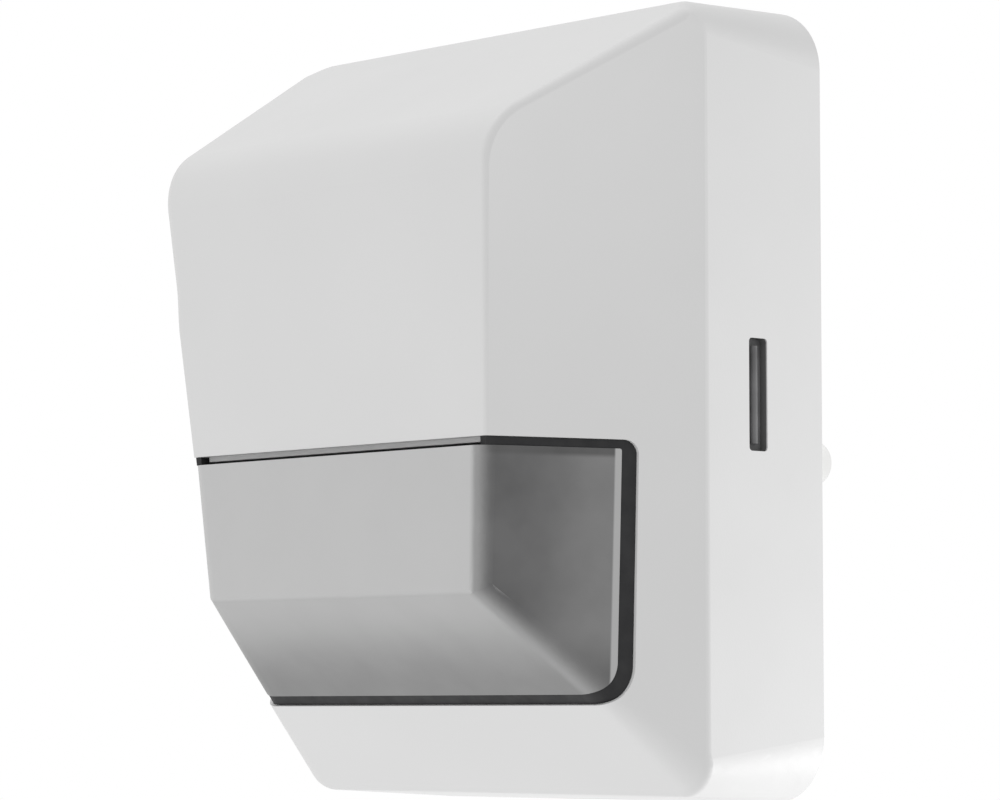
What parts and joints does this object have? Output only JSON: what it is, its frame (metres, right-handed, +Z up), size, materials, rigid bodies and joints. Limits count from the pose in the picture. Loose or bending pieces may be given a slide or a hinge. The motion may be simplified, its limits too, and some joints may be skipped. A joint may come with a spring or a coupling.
{
  "type": "motion sensor",
  "caption": "Wall-mounted passive infrared motion sensor: faceted white cover with a wrap-around frosted lens, clipped on a base with a circuit board and adjusting dials.",
  "frame": {"origin": "middle of the wall face, half-way between the top and the bottom and between the sides of the cover's back edge", "axes": "+Z up, +X to the right of someone who faces the sensor, +Y into the wall; the lens looks along -Y"},
  "size_m": [0.0772, 0.0526, 0.101],
  "materials": {
    "cover_plastic": "fine moulded texture, white",
    "lens_frosted": "frosted translucent polyethylene",
    "gasket_rubber": "black, matt",
    "pad_rubber": "moulded, dark grey",
    "retainer_plastic": "black, fine texture",
    "screw_steel": "zinc plated",
    "base_plastic": "moulded, white",
    "hook_plastic": "moulded, grey",
    "foam_rubber": "closed-cell foam, dark grey",
    "grommet_rubber": "black, matt",
    "clamp_plastic": "moulded, off-white",
    "board_laminate": "green solder mask",
    "terminal_plastic": "moulded, light grey",
    "brass_clamp": "tumbled",
    "relay_plastic": "black, sealed",
    "film_capacitor_case": "yellow moulded box",
    "capacitor_sleeve": "shrink sleeve, dark blue",
    "varistor_coating": "blue epoxy",
    "choke_winding": "enamelled copper on a ferrite drum",
    "fuse_glass": "clear tube with plated caps",
    "plated_metal": "tin plated",
    "chip_plastic": "moulded epoxy, black",
    "resistor_coating": "lacquered, beige",
    "trimmer_plastic": "moulded, blue",
    "dial_plastic": "moulded, ivory",
    "bracket_plastic": "black, matt",
    "detector_can": "nickel-plated can",
    "filter_pane": "dark infrared filter",
    "photocell_ceramic": "clear-coated ceramic",
    "led_lens": "red tinted epoxy"
  },
  "bodies": {
    "base": {"base_plate": "base_plastic", "edge_seal": "gasket_rubber", "wall_gasket": "foam_rubber", "cable_grommet": "grommet_rubber", "cable_clamp": "clamp_plastic", "cable_clamp_screws": "screw_steel", "circuit_board": "board_laminate", "board_screws": "screw_steel", "terminal_block": "terminal_plastic", "terminal_clamps": "brass_clamp", "terminal_screws": "screw_steel", "relay": "relay_plastic", "film_capacitor": "film_capacitor_case", "electrolytic_capacitor": "capacitor_sleeve", "varistor": "varistor_coating", "choke": "choke_winding", "fuse": "fuse_glass", "fuse_clips": "plated_metal", "control_chips": "chip_plastic", "chip_legs": "plated_metal", "resistors": "resistor_coating", "trimmers": "trimmer_plastic", "sensor_bracket": "bracket_plastic", "detector_boards": "board_laminate", "detector_left": "detector_can", "detector_right": "detector_can", "detector_filters": "filter_pane", "photocell": "photocell_ceramic", "indicator_led": "led_lens"},
    "cover": {"front_cover": "cover_plastic", "lens": "lens_frosted", "lens_gasket": "gasket_rubber", "lens_retainer": "retainer_plastic", "retainer_screws": "screw_steel", "release_pads": "pad_rubber"},
    "right_hook": {"snap_hook_right": "hook_plastic"},
    "left_hook": {"snap_hook_left": "hook_plastic"},
    "time_knob": {"time_dial": "dial_plastic"},
    "light_knob": {"light_dial": "dial_plastic"},
    "range_knob": {"range_dial": "dial_plastic"}
  },
  "joints": [
    {"name": "cover_pull", "type": "slide", "parent": "base", "child": "cover", "axis": [0, -1, 0], "range_m": [0, 0.08]},
    {"name": "right_hook_flex", "type": "hinge", "parent": "base", "child": "right_hook", "pos_m": [0.0331, -0.0058, 0], "axis": [0, 0, -1], "range_deg": [0, 5], "stiffness_Nm_per_rad": 0.4},
    {"name": "left_hook_flex", "type": "hinge", "parent": "base", "child": "left_hook", "pos_m": [-0.0331, -0.0058, 0], "axis": [0, 0, 1], "range_deg": [0, 5], "stiffness_Nm_per_rad": 0.4},
    {"name": "time_dial_turn", "type": "hinge", "parent": "base", "child": "time_knob", "pos_m": [-0.017, -0.021, -0.004], "axis": [0, -1, 0], "range_deg": [-135, 135]},
    {"name": "light_dial_turn", "type": "hinge", "parent": "base", "child": "light_knob", "pos_m": [0, -0.021, -0.004], "axis": [0, -1, 0], "range_deg": [-135, 135]},
    {"name": "range_dial_turn", "type": "hinge", "parent": "base", "child": "range_knob", "pos_m": [0.017, -0.021, -0.004], "axis": [0, -1, 0], "range_deg": [-135, 135]}
  ]
}
